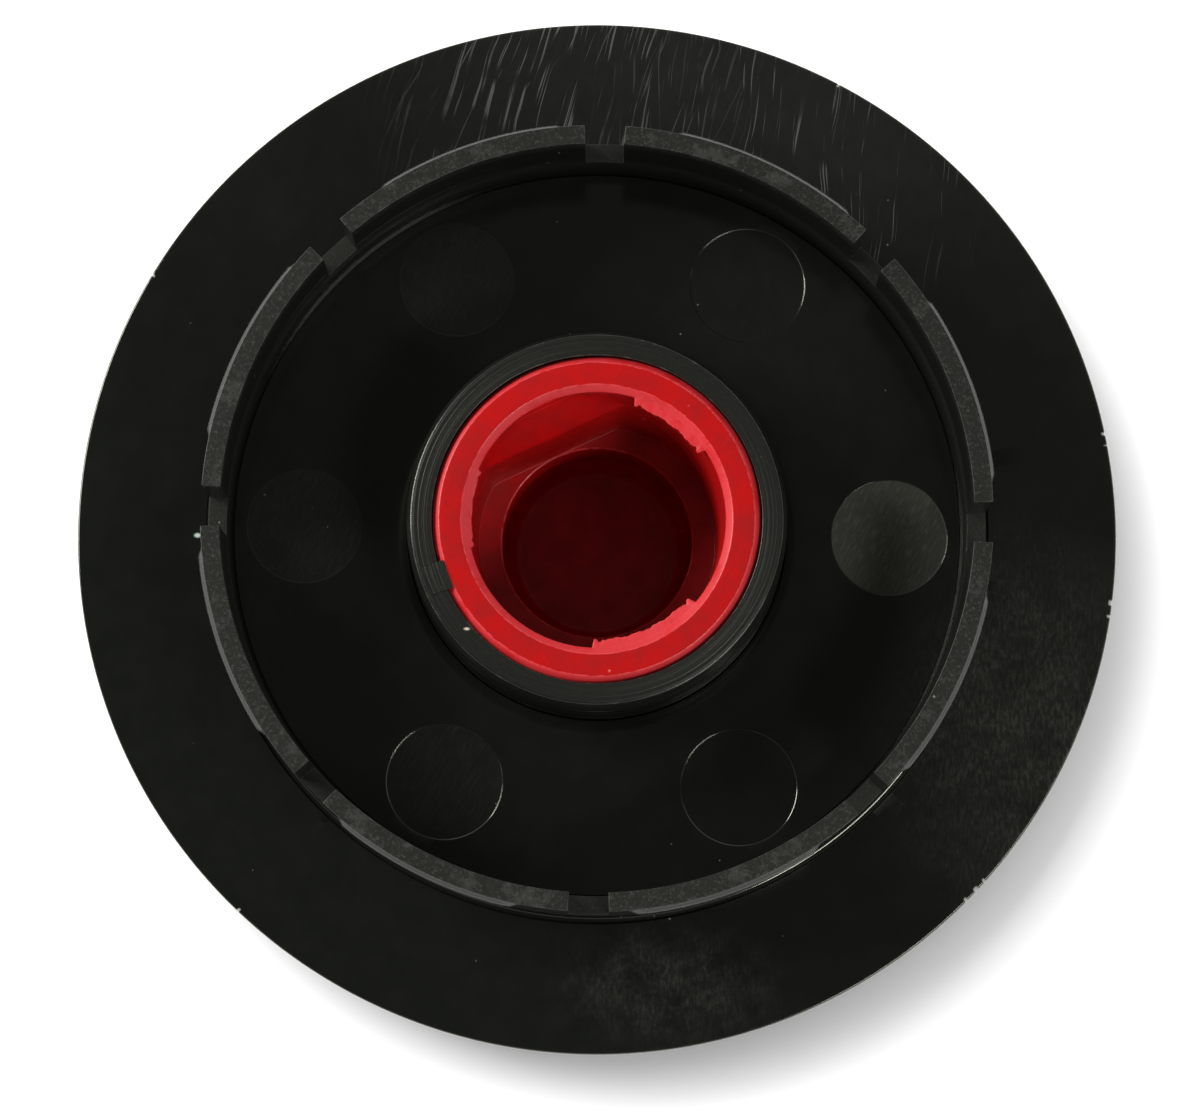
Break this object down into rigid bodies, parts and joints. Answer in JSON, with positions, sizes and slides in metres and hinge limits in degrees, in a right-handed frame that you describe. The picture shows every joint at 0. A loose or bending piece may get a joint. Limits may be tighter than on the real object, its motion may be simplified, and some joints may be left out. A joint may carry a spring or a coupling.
{
  "type": "seacock valve panel plate with turning knob",
  "caption": "Round black panel plate with a slotted snap ring, a threaded boss and a hollow red knob that turns a quarter turn to work a seacock valve.",
  "frame": {"origin": "on the knob's axis, in the plane of the plate's panel face", "axes": "+Z along the knob's axis, from the knob's grip towards the snap ring; +X to the right in the picture's view"},
  "size_m": [0.102, 0.102, 0.0329],
  "materials": {
    "black_gloss": "glossy with fine scratches",
    "black_satin": "satin",
    "red_plastic": "semi-gloss",
    "seal_rubber": "matte",
    "steel": "polished stainless",
    "dial_grey": "fine texture",
    "marker_red": "glossy",
    "marker_green": "glossy",
    "pointer_white": "glossy"
  },
  "bodies": {
    "housing": {"flange_plate": "black_gloss", "snap_ring": "black_satin", "bearing_sleeve": "black_satin", "retaining_key": "black_gloss", "neck_seal": "seal_rubber", "wiper_ring": "seal_rubber", "stop_pin": "steel", "detent_spring_1": "steel", "detent_spring_2": "steel", "dial_ring": "dial_grey", "closed_marker": "marker_red", "open_marker": "marker_green"},
    "turning_knob": {"knob": "red_plastic", "head_seal_1": "seal_rubber", "head_seal_2": "seal_rubber", "pointer_insert": "pointer_white"},
    "ball_1": {"detent_ball_1": "steel"},
    "ball_2": {"detent_ball_2": "steel"}
  },
  "joints": [
    {"name": "knob_turn", "type": "hinge", "parent": "housing", "child": "turning_knob", "pos_m": [0, 0, 0], "axis": [0, 0, 1], "range_deg": [0, 90]},
    {"name": "ball_1_travel", "type": "slide", "parent": "housing", "child": "ball_1", "axis": [0, 0, 1], "range_m": [0, 0.00035], "stiffness_N_per_m": 100, "springref_m": 0.002, "deforming": ["detent_spring_1"]},
    {"name": "ball_2_travel", "type": "slide", "parent": "housing", "child": "ball_2", "axis": [0, 0, 1], "range_m": [0, 0.00035], "stiffness_N_per_m": 100, "springref_m": 0.002, "deforming": ["detent_spring_2"]}
  ]
}
